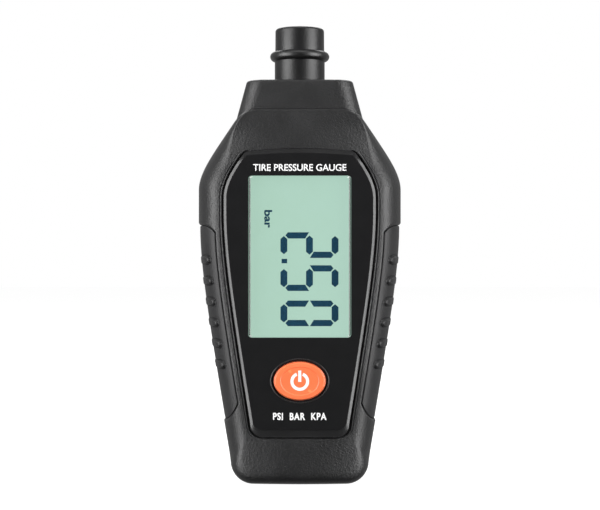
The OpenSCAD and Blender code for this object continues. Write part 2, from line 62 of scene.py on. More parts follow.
half_w, half_d, neck_h = box_mm("rear_case")[1]
total_h = box_mm("nozzle_body")[1][2]
body_h = 119.2
flank_z, flank_slope, flank_ease = 82.0, 0.175, 3.37
shoulder_z, shoulder_slope, shoulder_ease = 93.0, 0.8, 7.2
foot_r, foot_trim, foot_round = 7.3, 0.25, 7.5
flat_corner_r = 5.0
round_w, top_round, top_r = 6.8, 1.6, 9.0
section_power, foot_power = 2.3, 5.0
crown_z, crown_lean, crown_soft = 106.5, 0.21, 2.5
cavity_in, front_wall, rear_wall = 3.2, 2.2, 2.8

plate_half_w, plate_lo, plate_hi, plate_arch = 23.8, 15.4, 105.5, 0.8
plate_r, plate_top_r = 4.0, 2.0
plate_wide_lo, plate_wide_hi = 86.0, 90.0
groove_w = 0.62
bevel_side, bevel_lo, bevel_hi, bevel_drop = 0.85, 2.2, 1.2, 0.55
film_t = 0.3
face_y = -half_d
plate_y = face_y + film_t
flange_y0 = face_y + front_wall + 0.3
flange_y1 = flange_y0 + 1.2

grip_depth, grip_sink, grip_inset = 2.0, 0.45, 6.0
rib_rise, rib_end_rise, rib_half, rib_inset, rib_top_z, rib_pitch, ribs = 0.25, 0.5, 1.15, 2.25, 70.7, 6.6, 6
rib_groove = 0.4
fall_slope, fall_start, fall_ease = 0.34, 8.6, 2.6
in_front, behind = -30, 40


# ---- mesh helpers -----------------------------------------------------------------------------


def mix(a, b, t):
    """Straight blend: a where t is 0, b where it is 1."""
    return a + (b - a) * t


def smooth(t):
    """Eased step: 3t^2 - 2t^3 between 0 and 1."""
    t = np.clip(t, 0, 1)
    return t * t * (3 - 2 * t)


def run_along(u, v):
    """Length of a path (u, v) up to each of its points."""
    return np.concatenate([[0], np.cumsum(np.hypot(np.diff(u), np.diff(v)))])


def sheet(points, wrap_rows=False, wrap_cols=False):
    """Quads over a grid of points (rows, cols, 3), joined round where it wraps."""
    rows, cols = points.shape[:2]
    a, b = np.meshgrid(
        np.arange(rows if wrap_rows else rows - 1),
        np.arange(cols if wrap_cols else cols - 1),
        indexing="ij",
    )
    a2, b2 = (a + 1) % rows, (b + 1) % cols
    corners = [a * cols + b, a * cols + b2, a2 * cols + b2, a2 * cols + b]
    return points.reshape(-1, 3), np.stack(corners, -1).reshape(-1, 4).tolist()


def slab(outer, inner):
    """Closed solid between two grids of the same shape, stitched round their borders."""
    rows, cols = outer.shape[:2]
    index = np.arange(rows * cols).reshape(rows, cols)
    _, faces = sheet(outer)
    back = [[v + rows * cols for v in f[::-1]] for f in faces]
    rim = np.concatenate([index[0], index[1:, -1], index[-1, -2::-1], index[-2:0:-1, 0]])
    nxt = np.roll(rim, -1)
    wall = np.stack([nxt, rim, rim + rows * cols, nxt + rows * cols], -1).tolist()
    return np.concatenate([outer.reshape(-1, 3), inner.reshape(-1, 3)]), faces + back + wall


def loft(rings):
    """Closed solid through a stack of closed sections (sections, points, 3), with flat ends."""
    count, n = rings.shape[:2]
    points, faces = sheet(rings, wrap_cols=True)
    ends = [list(range(n)), [(count - 1) * n + i for i in range(n)][::-1]]
    return points, faces + ends


def revolve(profile, steps=96, centre=(0.0, 0.0)):
    """Closed solid of revolution about +Z: a closed profile of (radius, height) turned round."""
    a = np.linspace(0, 2 * np.pi, steps, endpoint=False)[:, None]
    r, z = np.array(profile, float).T
    spun = np.stack([centre[0] + r * np.cos(a), centre[1] + r * np.sin(a), z + 0 * a], -1)
    return sheet(spun, True, True)


def lay(xz, y):
    """Points drawn in x and z, put at depth y."""
    return np.stack([xz[..., 0], np.broadcast_to(y, xz.shape[:-1]), xz[..., 1]], -1)


def prism(outline, y0, y1):
    """Closed solid: an outline in x and z, carried from one depth to another."""
    return loft(np.stack([lay(outline, y) for y in (y0, y1)]))


def block(x0, x1, y0, y1, z0, z1):
    """Cutter box."""
    return prism(np.array([[x0, z0], [x1, z0], [x1, z1], [x0, z1]]), y0, y1)


def ellipse(x, z, a, b, n):
    """Outline of an ellipse with half axes a across and b up."""
    t = np.linspace(0, 2 * np.pi, n, endpoint=False)
    return np.stack([x + a * np.cos(t), z + b * np.sin(t)], -1)


def peg(x, z, r, y0, y1):
    """Round cutter or boss along Y."""
    return prism(ellipse(x, z, r, r, 48), y0, y1)


def rounded(x0, x1, z0, z1, r, n=10):
    """Outline of a rectangle with corners of radius r."""
    a = np.radians(np.linspace(0, 90, n))
    centres = [(x1 - r, z1 - r, 0), (x0 + r, z1 - r, 90), (x0 + r, z0 + r, 180), (x1 - r, z0 + r, 270)]
    return np.concatenate(
        [np.stack([cx + r * np.cos(a + np.radians(q)), cz + r * np.sin(a + np.radians(q))], -1)
         for cx, cz, q in centres]
    )


def join(parts):
    """Several (points, faces) as one."""
    points, faces, start = [], [], 0
    for p, f in parts:
        points.append(p)
        faces += [[v + start for v in face] for face in f]
        start += len(p)
    return np.concatenate(points), faces


def placed(name, data):
    """An object of the scene that holds this data."""
    piece = bpy.data.objects.new(name, data)
    bpy.context.scene.collection.objects.link(piece)
    return piece


def solid(name, part, crease=32):
    """A mesh object from (points, faces) in millimetres: merged, outward, smooth up to the crease angle."""
    points, faces = part
    mesh = bpy.data.meshes.new(name)
    mesh.from_pydata((points * MM).tolist(), [], faces)
    clean(mesh, crease)
    return placed(name, mesh)


def clean(mesh, crease):
    """Merges doubles, drops empty faces, turns normals outwards and marks edges sharper than the crease."""
    bm = bmesh.new()
    bm.from_mesh(mesh)
    bmesh.ops.remove_doubles(bm, verts=bm.verts, dist=2e-6)
    bmesh.ops.dissolve_degenerate(bm, edges=bm.edges, dist=1e-7)
    bmesh.ops.recalc_face_normals(bm, faces=bm.faces)
    bm.to_mesh(mesh)
    bm.free()
    mesh.shade_smooth()
    mesh.set_sharp_from_angle(angle=math.radians(crease))


def combine(piece, operation, tools):
    """Joins objects to a piece, or cuts them from it, one after another, and removes them."""
    for tool in tools:
        modifier = piece.modifiers.new("combine", "BOOLEAN")
        modifier.operation = operation
        modifier.solver = "MANIFOLD"
        modifier.object = tool
    applied(piece)
    for tool in tools:
        bpy.data.objects.remove(tool)


def carve(piece, operation, *parts):
    """Combines a piece with closed parts given as (points, faces), and cleans what is left."""
    combine(piece, operation, [solid("tool", part) for part in parts])
    clean(piece.data, 32)


def applied(piece):
    """Puts what the modifiers make into the mesh itself."""
    graph = bpy.context.evaluated_depsgraph_get()
    graph.update()
    mesh = bpy.data.meshes.new_from_object(piece.evaluated_get(graph))
    piece.modifiers.clear()
    piece.data = mesh


def soften(piece, width, segments=2, angle=40):
    """Rounds the sharp edges of a piece by a small bevel."""
    modifier = piece.modifiers.new("soften", "BEVEL")
    modifier.width = width * MM
    modifier.segments = segments
    modifier.limit_method = "ANGLE"
    modifier.angle_limit = math.radians(angle)
    modifier.harden_normals = True
    applied(piece)


def dress(piece, material, slot, body, *nodes):
    """Gives a piece its material, its body and the nodes that it stands for; the slot argument is not used.
    """
    piece.data.materials.clear()
    piece.data.materials.append(material)
    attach(piece, body)
    if nodes:
        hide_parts(*nodes)
    return piece


# ---- case outline -----------------------------------------------------------------------------


def drop(run, slope, ease):
    """Drop of a hyperbola that starts level and ends in a straight slope."""
    return np.sqrt(ease**2 + (slope * np.maximum(run, 0)) ** 2) - ease


def flank_x(z):
    """Half width of the case at a height."""
    return half_w - drop(flank_z - z, flank_slope, flank_ease) - drop(
        z - shoulder_z, shoulder_slope, shoulder_ease
    )


def normal_of(half_width, z):
    """Outward normal (x, z) of an outline whose half width is a function of height."""
    dx = half_width(z - 0.05) - half_width(z + 0.05)
    length = np.hypot(0.1, dx)
    return 0.1 / length, dx / length


def inward(z, w):
    """Point of the flank at a height, moved in by w along the outline's normal."""
    nx, nz = normal_of(flank_x, z)
    return flank_x(z) - w * nx, z - w * nz


def rounding(z, d):
    """Width of the rounding between the flank and the flat front."""
    return np.maximum(mix(round_w, top_round, smooth((z - 103) / 13)), d + 0.4)


def depth(z):
    """Half depth of the case: constant, then leaning back above the crown, through a soft bend."""
    u = z - crown_z
    return half_d - crown_lean * 0.5 * (u + np.sqrt(u * u + crown_soft**2)) + 0.02


foot_join = foot_r + foot_r * normal_of(flank_x, foot_r)[1]
foot_n = normal_of(flank_x, foot_join)
foot_c = (flank_x(foot_join) - foot_r * foot_n[0], foot_r - foot_trim)
top_join = body_h - top_r + top_r * normal_of(flank_x, body_h - 2.4)[1]
top_n = normal_of(flank_x, top_join)
top_c = (flank_x(top_join) - top_r * top_n[0], body_h - top_r)
flat_c_z = foot_round + flat_corner_r
flat_join = flat_c_z + (round_w - flat_corner_r) * normal_of(flank_x, flat_c_z)[1]
flat_n = normal_of(flank_x, flat_join)
flat_c_x = inward(flat_join, round_w)[0] - flat_corner_r * flat_n[0]

FOOT, FOOT_CORNER, FLANK, TOP_CORNER, TOP = range(5)
grip_lo_in, grip_lo_out, grip_hi_in, grip_hi_out = 25.8, 20.0, 79.2, 81.9


def grip_ends(inset):
    """Lowest and highest height of the grip at an inset from the flank: curves that swing outwards."""
    share = np.clip(inset / grip_inset, 0, 1)
    lo = mix(grip_lo_out, grip_lo_in, share**1.66)
    hi = mix(grip_hi_out, grip_hi_in, share**2.6)
    return tuple(z + normal_of(flank_x, z)[1] * inset for z in (lo, hi))


def half_rows():
    """Rows of the right half of the outline, from the foot's middle to the top's middle.

    Each row has its stretch, a parameter along it, a nudge in millimetres and how deep the grip's recess
    is there, from 0 to 1. On the flank the parameter is 0 to 1 below the grip, to 2 along it, to 3 above.
    """
    rows = [(FOOT, t, 0, 0) for t in np.linspace(0, 1, 36, endpoint=False)]
    rows += [(FOOT_CORNER, t, 0, 0) for t in np.linspace(0, 1, 22, endpoint=False)]
    rows += [(FLANK, v, 0, 0) for v in np.linspace(0, 0.9, 33)]
    edge = [(-0.72, 0), (-0.56, 0.02), (-0.3, 0.11), (0.0, 0.25), (0.08, 1), (0.22, 1)]
    rows += [(FLANK, 1, nudge, deep) for nudge, deep in edge]
    rows += [(FLANK, v, 0, 1) for v in np.linspace(1.008, 1.992, 130)]
    rows += [(FLANK, 2, -nudge, deep) for nudge, deep in edge[::-1]]
    rows += [(FLANK, v, 0, 0) for v in np.linspace(2.035, 3, 90, endpoint=False)]
    rows += [(TOP_CORNER, t, 0, 0) for t in np.linspace(0, 1, 18, endpoint=False)]
    rows += [(TOP, t, 0, 0) for t in np.linspace(0, 1, 26)]
    return [np.array(column)[:, None] for column in zip(*rows)]


stretch, along, nudge, recess_row = half_rows()


def by_stretch(*choices):
    """Picks for every row the choice of its stretch, from the foot to the top."""
    return np.select([stretch == k for k in range(5)], choices)


def flank_height(start, inset):
    """Height of each row on the flank, for columns at these insets."""
    lo, hi = grip_ends(inset)
    v = np.clip(along, 0, 3)
    low, middle, high = mix(start, lo, v), mix(lo, hi, v - 1), mix(hi, top_join, v - 2)
    return np.where(v < 1, low, np.where(v < 2, middle, high)) + nudge


def arc_angle(normal):
    """Angle along a corner, from straight down to the flank's normal, or from there to straight up."""
    lean = math.asin(normal[1])
    return mix(-np.pi / 2, lean, along), mix(lean, np.pi / 2, along)


def edge_points(inset, d):
    """The outline at the parting plane, d in: foot, corner arc, flank, corner arc, top."""
    low, high = arc_angle(foot_n)[0], arc_angle(top_n)[1]
    fx, fz = inward(flank_height(foot_join, inset), d)
    x = by_stretch(along * foot_c[0], foot_c[0] + (foot_r - d) * np.cos(low), fx,
                   top_c[0] + (top_r - d) * np.cos(high), (1 - along) * top_c[0])
    z = by_stretch(foot_c[1] - foot_r + d, foot_c[1] + (foot_r - d) * np.sin(low), fz,
                   top_c[1] + (top_r - d) * np.sin(high), body_h - d)
    return x, z


def flat_points(inset, d):
    """The outline of the flat front or back, inside the rounding."""
    low, high = arc_angle(flat_n)[0], arc_angle(top_n)[1]
    height = flank_height(flat_join, inset)
    fx, fz = inward(height, rounding(height, d))
    rt = top_r - rounding(body_h, d)
    x = by_stretch(along * flat_c_x, flat_c_x + flat_corner_r * np.cos(low), fx,
                   top_c[0] + rt * np.cos(high), (1 - along) * top_c[0])
    z = by_stretch(foot_round, flat_c_z + flat_corner_r * np.sin(low), fz,
                   top_c[1] + rt * np.sin(high), top_c[1] + rt)
    return x, z


def skin(angle, d, side, inner=0.0):
    """Case surface for columns at section angles: 0 at the parting plane, 90 at the flat, d in.

    A superellipse blends the flat outline into the parting outline: cos^(2/p) across, sin^(2/p) in depth.
    """
    inset = round_w * (1 - np.cos(angle) ** (2 / section_power))
    ex, ez = edge_points(inset, d)
    fx, fz = flat_points(inset, d)
    power = 2 / mix(foot_power, section_power, smooth(ez / 10))
    c, s = np.abs(np.cos(angle)) ** power, np.sin(angle) ** power
    y = side * s * (depth(fz) - d - inner)
    return np.stack([mix(fx, ex, c), y, np.maximum(mix(fz, ez, c), 0)], -1)


def angle_at(inset):
    """Section angle where the surface is this far in from the flank."""
    return np.arccos(np.clip(1 - np.asarray(inset) / round_w, 0, 1) ** (section_power / 2))


def even_angles(start, end, n):
    """Section angles at even steps of arc length along the section."""
    fine = np.linspace(start, end, 3000)
    across = round_w * (1 - np.cos(fine) ** (2 / section_power))
    deep = half_d * np.sin(fine) ** (2 / section_power)
    run = run_along(across, deep)
    return np.interp(np.linspace(0, run[-1], n), run, fine)


parting_gap, parting_y = 0.04, 0.22
first_angle = math.asin((parting_y / half_d) ** (section_power / 2))
edge_insets = np.array([5.8, 5.92, 6.0, 6.14, 6.28, 6.5, 6.8])
edge_recess = np.array([1, 1, 0.16, 0.06, 0.012, 0, 0])
angles = np.concatenate([even_angles(first_angle, angle_at(5.55), 42), angle_at(edge_insets)])
recess_col = np.concatenate([np.ones(42), edge_recess])


def outer_skin(side):
    """Outside of a case half, with the grip's recess and a fine groove along the parting plane."""
    d = grip_depth * np.minimum(recess_row, recess_col)
    surface = skin(angles[None, :], d, side)
    lips = []
    for extra, y in ((0.2, parting_gap), (0.06, 0.1)):
        lip = skin(np.array([[0.0]]), d[:, :1] + extra, side)
        lip[..., 1] = side * y
        lips.append(lip)
    return np.concatenate(lips + [surface], 1)


def inner_skin(side, wall):
    """Inside of a case half, from the flat to the parting plane."""
    surface = skin(np.radians([[90, 82, 70, 55, 38, 20, 8, 0]]), np.full((1, 1), cavity_in), side,
                   wall - cavity_in)
    surface[:, -1, 1] = side * parting_gap
    return surface


def leaned(points):
    """Both faces fall away towards the flanks: a hyperbola's drop over the distance outside a start line."""
    x, z = np.abs(points[..., 0]), points[..., 2]
    run = fall_start - (flank_x(z) - x)
    ease = fall_ease + 9 * smooth((40 - z) / 26) + 6 * smooth((z - 90) / 12)
    fall = fall_slope * 0.5 * (run + np.sqrt(run**2 + ease**2)) * smooth((119 - z) / 14)
    return points * np.stack([np.ones_like(x), 1 - fall / half_d, np.ones_like(x)], -1)


def whole_loop(half):
    """The right half of the rows and its mirror image, once round."""
    other = half[::-1][1:-1] * np.array([-1, 1, 1])
    return np.concatenate([half, other])


# ---- face plate outline -----------------------------------------------------------------------


def plate_x(z):
    """Half width of the face plate at a height."""
    return plate_half_w - drop(plate_wide_lo - z, 0.17, 3.5) - drop(z - plate_wide_hi, 1.05, 13.8)


def plate_line(side, lo, hi):
    """Right half of the plate's outline, one point per row, moved in at its sides, foot and arch."""
    r, rt = plate_r - side, max(0.5, plate_top_r - side)
    cz, tz = plate_lo + lo + r, plate_hi - plate_arch - hi - rt
    n0 = normal_of(plate_x, cz)
    cx = plate_x(cz) - side - r
    join_z = tz + rt * normal_of(plate_x, tz)[1]
    n1 = normal_of(plate_x, join_z)
    tx = plate_x(join_z) - (side + rt) * n1[0]
    t_z = join_z - (side + rt) * n1[1]
    v = np.clip(along, 0, 3)
    height = np.interp(v, [0, 1, 2, 3], [cz, grip_lo_in + 1, grip_hi_in, join_z]) + nudge
    nx, nz = normal_of(plate_x, height)
    low = mix(-np.pi / 2, math.asin(n0[1]), along)
    high = mix(math.asin(n1[1]), math.radians(86), along)
    x = by_stretch(along * cx, cx + r * np.cos(low), plate_x(height) - side * nx,
                   tx + rt * np.cos(high), (1 - along) * tx)
    z = by_stretch(plate_lo + lo, cz + r * np.sin(low), height - side * nz,
                   t_z + rt * np.sin(high), plate_hi - hi - plate_arch * (1 - along) ** 2)
    return np.concatenate([x, z], 1)


def plate_loop(side, lo, hi):
    """The plate's whole outline, as (x, z)."""
    half = plate_line(side, lo, hi)
    return np.concatenate([half, half[::-1][1:-1] * np.array([-1, 1])])


def grown(g, top=None):
    """The plate's outline grown by g, or by another amount at its arch."""
    return plate_line(-g, -g, -g if top is None else -top)


# ---- case halves ------------------------------------------------------------------------------

lip_profile = [(1.0, 0.0), (0.82, 0.0), (0.74, -0.1), (0.66, -0.2), (0.58, -0.1), (0.5, 0.1), (0.4, 0.2),
               (0.26, 0.2), (0.14, 0.1), (0.05, -0.06), (0.0, -0.24)]
plate_gap_top = 0.12


def front_shell():
    """Closed shell of the case front: outside, flat strip, bead round the face plate, groove wall, inside."""
    outside = outer_skin(-1)
    flat = outside[:, -1][:, [0, 2]]
    rim = grown(groove_w + lip_profile[0][0], plate_gap_top + lip_profile[0][0])
    steps = [mix(flat, rim, t) for t in np.linspace(0.08, 0.94, 13)]
    strip = [lay(xz, -depth(xz[..., 1])) for xz in steps]
    fade = by_stretch(0, smooth(along * 1.2 - 0.2), smooth((3.06 - along) / 0.3), 0, 0)[:, 0]
    bead = []
    for g, rise in lip_profile:
        xz = grown(groove_w + g, plate_gap_top + g)
        bead.append(lay(xz, -depth(xz[..., 1]) - rise * fade))
    ledge = [(groove_w, -14.5), (0.12, -14.45), (0.12, -14.0), (groove_w, -13.5)]
    lower = by_stretch(0.5, 0.5 - 0.5 * smooth(along), 0, 0, 0)[:, 0]
    wall = [lay(grown(g, min(g, plate_gap_top)), y + lower * (y < -13.6)) for g, y in ledge]
    columns = np.stack(strip + bead + wall, 1)
    half = np.concatenate([outside, columns, inner_skin(-1, front_wall)], 1)
    return sheet(leaned(whole_loop(half)), True, True)


def rear_shell():
    """Closed shell of the case back: outside and inside, each closed on a spine up the middle."""
    spine_z = by_stretch(30, 30, mix(30, 92, np.clip(along / 3, 0, 1)), 92, 92)[:, 0]
    spine = np.stack([0 * spine_z, spine_z], -1)

    def back(flat, sink, shares):
        steps = [mix(flat, spine, t) for t in shares]
        return np.stack([lay(xz, depth(xz[..., 1]) - sink) for xz in steps], 1)

    outside = outer_skin(1)
    inside = inner_skin(1, rear_wall)
    outer_back = back(outside[:, -1][:, [0, 2]], 0, np.linspace(0.04, 1, 20))
    inner_back = back(inside[:, 0][:, [0, 2]], rear_wall, np.linspace(0.15, 1, 6))
    half = np.concatenate([outer_back[:, ::-1], outside[:, ::-1], inside[:, ::-1], inner_back], 1)
    return sheet(leaned(whole_loop(half)), True, False)


neck_base, neck_taper, neck_half_w, neck_half_d, neck_corner, neck_edge = 108.0, 0.267, 16.8, 10.4, 5.5, 0.8


def neck_half(side):
    """Half of the neck: a rounded rectangle that narrows upwards, with its top edge rounded over."""
    rings = []
    heights = [(z, 0.0) for z in np.linspace(neck_base, neck_h - neck_edge, 14)]
    heights += [(neck_h - neck_edge * (1 - math.sin(a)), neck_edge * (1 - math.cos(a)))
                for a in np.radians([15, 30, 45, 60, 75, 90])]
    turn = np.radians(np.linspace(0, 90, 16))
    for z, inset in heights:
        a = neck_half_w + neck_taper * (neck_h - z) - inset
        b = neck_half_d + 0.08 * (neck_h - z) - inset
        r = neck_corner - inset * 0.6
        x = np.concatenate([[a - 0.2, a - 0.06], a - r + r * np.cos(turn)])
        y = np.concatenate([[parting_gap, 0.1], b - r + r * np.sin(turn)])
        x, y = np.concatenate([x, -x[::-1]]), np.concatenate([y, y[::-1]])
        rings.append(np.stack([x, side * y, z + 0 * x], -1))
    return loft(np.array(rings))


nozzle_hole = revolve([(0.01, 100), (8.1, 100), (8.1, 135), (0.01, 135)], 128)
case_screws = [np.mean(box_mm(f"case_screw_{i}"), 0)[[0, 2]] for i in (1, 2, 3, 4)]
screw_seat = 9.0

door_half, door_top, door_z0, door_corner, door_t, door_gap = 13.2, 71.5, 0.2, 1.5, 1.5, 0.25
door_y0 = box_mm("battery_door")[0][1]
bay_half, bay_z0, bay_z1, bay_floor, bay_wall = 10.9, 19.0, 68.5, 1.4, 1.3
label_low, label_high = box_mm("rear_label")


def foot_profile(d, start):
    """Section of the case back through the foot, d in, as (y, z) from depth start up to the flat."""
    low = foot_trim - d
    a = np.linspace(0.02, np.pi / 2, 60)
    y = np.sin(a) ** (2 / foot_power) * (half_d - d)
    z = np.maximum(mix(foot_round, -low, np.cos(a) ** (2 / foot_power)), 0 if d == 0 else -9)
    keep = y >= start
    return np.stack([y[keep], z[keep]], -1)


def front_case():
    piece = solid("front_case_shell", front_shell())
    carve(piece, "UNION", neck_half(-1))
    carve(piece, "DIFFERENCE", nozzle_hole)
    return piece


def rear_case():
    piece = solid("rear_case_shell", rear_shell())
    bay = block(-bay_half - bay_wall, bay_half + bay_wall, 0.2, 13.6, bay_z0 - bay_wall, bay_z1 + bay_wall)
    bosses = [peg(x, z, 3, 0.2, 13.2) for x, z in case_screws]
    carve(piece, "UNION", neck_half(1), bay, *bosses)
    path = foot_profile(door_t + 0.1, door_y0 - door_gap)
    inside = np.concatenate([[[path[0, 0], -2]], path, [[half_d - door_t - 0.1, 90]], [[40, 90]], [[40, -2]]])
    wedge = [lay_x(x, inside) for x in (-door_half - door_gap, door_half + door_gap)]
    zone = rounded(-door_half - door_gap, door_half + door_gap, -20, door_top + door_gap, door_corner)
    recess = solid("door_recess", loft(np.array(wedge)))
    carve(recess, "INTERSECT", prism(zone, 0, 50))
    combine(piece, "DIFFERENCE", [recess])
    holes = [peg(x, z, 2.6, screw_seat, behind) for x, z in case_screws]
    shafts = [peg(x, z, 1.5, -1, screw_seat + 1) for x, z in case_screws]
    sunk = rounded(label_low[0] - 0.2, label_high[0] + 0.2, label_low[2] - 0.2, label_high[2] + 0.2, 2)
    label = prism(sunk, half_d - 0.2, behind)
    room = block(-bay_half, bay_half, bay_floor, behind, bay_z0, bay_z1)
    carve(piece, "DIFFERENCE", nozzle_hole, join(holes), join(shafts), label, room)
    return piece


def lay_x(x, yz):
    """Points drawn in y and z, put at x."""
    return np.stack([np.full(len(yz), x), yz[:, 0], yz[:, 1]], -1)


# ---- grips ------------------------------------------------------------------------------------


def grip(side_x):
    """Soft grip round one flank: a slab over section angle and height, with raised ribs.

    A rib is a stadium round the flank: its distance field gives a rounded bar that ends at an inset, with a
    fine groove round its end.
    """
    reach = np.concatenate([[5.93, 5.9, 5.8, 5.6], np.linspace(5.35, 4.2, 5)])
    front = np.concatenate([angle_at(reach), even_angles(0.0, angle_at(4.0), 44)[::-1]])
    turn = np.concatenate([-front, front[::-1][1:]])
    inset = round_w * (1 - np.cos(turn) ** (2 / section_power))
    lo, hi = grip_ends(inset)
    z = mix(lo + 0.05, hi - 0.05, even_with_ends(260, 60.0))
    height = inward(z, inset)[1]
    crown = rib_rise + rib_end_rise * smooth(inset / rib_inset) ** 2 * smooth(1.6 - np.abs(turn) / 1.57)
    rise, groove = np.zeros_like(z), np.zeros_like(z)
    for k in range(ribs):
        away = np.hypot(height - (rib_top_z - k * rib_pitch), np.maximum(0, inset - rib_inset))
        rise = np.maximum(rise, crown * smooth((rib_half + 0.06 - away) / 0.4) ** 0.7)
        round_rib = smooth(1 - np.abs(away - rib_half - 0.26) / 0.3)
        groove = np.maximum(groove, rib_groove * round_rib * smooth(inset / 0.8))
    to_end = np.minimum(z - lo, hi - z)
    to_border = np.minimum(to_end, grip_inset - inset)
    rolled = 0.3 * (1 - smooth(to_border / 0.5)) ** 2 + 0.35 * (1 - smooth(to_end / 0.8)) ** 2
    d = grip_sink - rise + groove * (rise < 0.05) + rolled
    outer, inner = grip_surface(turn, z, d), grip_surface(turn, z, np.full_like(z, grip_depth - 0.06))
    flip = np.array([side_x, 1, 1])
    return slab(leaned(outer) * flip, leaned(inner) * flip)


def even_with_ends(n, length):
    """Shares from 0 to 1 as a column, even but for a few close steps at both ends."""
    near = np.array([0, 0.06, 0.14, 0.26, 0.4]) / length
    return np.concatenate([near, np.linspace(0.62 / length, 1 - 0.62 / length, n), 1 - near[::-1]])[:, None]


def grip_surface(turn, z, d):
    """Case surface on the flank at signed section angles, d in."""
    ex, ez = inward(z, d)
    fx, fz = inward(z, rounding(z, d))
    c = np.cos(turn) ** (2 / section_power)
    s = np.sign(turn) * np.abs(np.sin(turn)) ** (2 / section_power)
    return np.stack([mix(fx, ex, c), s * (half_d - d), mix(fz, ez, c)], -1)


# ---- face -------------------------------------------------------------------------------------

window_half, window_lo, window_hi = 16.05, 46.5, 97.1
button_z, button_a, button_b = 33.0, 8.05, 5.95
button_front = box_mm("power_button")[0][1]
glass_y = box_mm("lcd_glass")[0][1]


def button_bead():
    """Fine ridge round the button's opening: a half-round profile carried along an oval."""
    a = np.radians(np.linspace(0, 180, 7))
    profile = [(0.16 * math.cos(q), 0.14 * math.sin(q)) for q in a] + [(-0.16, -0.1), (0.16, -0.1)]
    rings = [lay(oval(1.02 + u, 0.92 + u), face_y - v) for u, v in profile]
    return solid("button_bead", sheet(np.array(rings), True, True), 60)


def window_ring(g):
    """Window outline grown by g."""
    r = max(0.35, 1 + g / 2)
    return rounded(-window_half - g, window_half + g, window_lo - g, window_hi + g, r, 12)


def oval(grow_a=0.0, grow_b=0.0, share=1.0, n=128):
    """The button's outline, grown by an amount across and up, or shrunk to a share."""
    return ellipse(0, button_z, (button_a + grow_a) * share, (button_b + grow_b) * share, n)


def face_bezel():
    """Face plate: outline walls, rolled edge, a bevel wide at the foot and flatter at the arch, openings."""
    levels = [(0, 0, 0, flange_y1), (0, 0, 0, plate_y + bevel_drop + 0.06),
              (0.04, 0.05, 0.04, plate_y + bevel_drop - 0.03)]
    levels += [(t * bevel_side, t * bevel_lo, t * bevel_hi, plate_y + bevel_drop * (1 - t))
               for t in (0.12, 0.5, 0.88)]
    levels += [(bevel_side * 0.97, bevel_lo * 0.97, bevel_hi * 0.97, plate_y + 0.01),
               (bevel_side + 0.1, bevel_lo + 0.1, bevel_hi + 0.1, plate_y)]
    rings = []
    for side, lo, hi, y in levels:
        xz = plate_loop(side, lo, hi)
        flatter = 0.72 * smooth((xz[:, 1] - 99.5) / 4)
        rings.append(lay(xz, y - np.clip(y - plate_y, 0, bevel_drop) * flatter))
    piece = solid("face_plate", loft(np.array(rings)))
    flange = plate_loop(*[-groove_w - 1.3] * 3)
    carve(piece, "UNION", prism(flange, flange_y0, flange_y1 - 0.01))
    window = prism(window_ring(0), in_front, 0)
    opening = prism(oval(0.25, 0.25, n=96), in_front, 0)
    ring = prism(oval(0.8, 0.68, n=96), in_front, plate_y + 0.7)
    pocket = prism(window_ring(2.15), plate_y + 1.2, 0)
    well = prism(oval(2.6, 2.4, n=96), flange_y0 + 0.2, 0)
    carve(piece, "DIFFERENCE", window, opening, ring, pocket, well)
    soften(piece, 0.07, 2, 50)
    return piece


def face_film():
    """Printed film on the plate: a thin sheet with its openings cut out and its edges barely rounded."""
    ring = plate_loop(bevel_side + 0.15, bevel_lo + 0.15, bevel_hi + 0.15)
    piece = solid("face_film_sheet", prism(ring, face_y, plate_y))
    window, opening = (prism(outline, in_front, 0) for outline in (window_ring(0.05), oval(0.95, 0.75, n=96)))
    carve(piece, "DIFFERENCE", window, opening)
    soften(piece, 0.08, 2)
    return piece


rim_w = 0.62
lens_front = face_y + 0.08


def window_lens():
    """Clear window: a raised pane with a bevelled rim, on a hidden flange."""
    levels = [(1.3, plate_y + 2.4), (1.3, plate_y + 1.2), (-0.1, plate_y + 1.2), (-0.1, lens_front + 0.42),
              (-0.14, lens_front + 0.36), (-0.3, lens_front + 0.22), (-rim_w + 0.04, lens_front + 0.02),
              (-rim_w - 0.06, lens_front)]
    return solid("window_lens", loft(np.array([lay(window_ring(g), y) for g, y in levels])), 60)


def lcd_cell():
    """Display cell behind the window."""
    piece = solid("lcd_cell", prism(window_ring(2), glass_y, glass_y + 1.6))
    soften(piece, 0.1, 1)
    return piece


# Display digits are written from the top down, their tops towards +X.
digit_h, digit_w, digit_x = 18.2, 8.05, -6.05
digit_places = [75.4, 65.05, 54.0]
bar_t, post_t, seg_gap = 2.15, 1.95, 0.24
SEGMENTS = {"2": "abged", "5": "afgcd", "0": "abcdef"}
letter_t = 0.03


def segment(name):
    """One stroke of a seven-segment digit as a six-sided outline, (along the writing, up the digit)."""
    w, h = digit_w / 2, digit_h
    mid = h / 2
    if name in "agd":
        v = {"a": h - bar_t / 2, "g": mid, "d": bar_t / 2}[name]
        t = bar_t / 2
        reach = w - t + 0.05 - (0 if name == "g" else 0.15)
        inner = reach - t * 0.85
        return [(-reach, v), (-inner, v - t), (inner, v - t), (reach, v), (inner, v + t), (-inner, v + t)]
    out = w * (1 if name in "bc" else -1)
    u, inside = out * (1 - post_t / 2 / w), out * (1 - post_t / w)
    step = 1 if name in "bf" else -1
    near = mid + seg_gap * 0.5 * step
    far_end = h - bar_t * 0.72 if step > 0 else bar_t * 0.72
    t = post_t / 2 * step
    return [(out, near), (out, far_end - t * 0.8), (u, far_end), (inside, far_end - t * 0.9),
            (inside, near + 1.25 * t)]


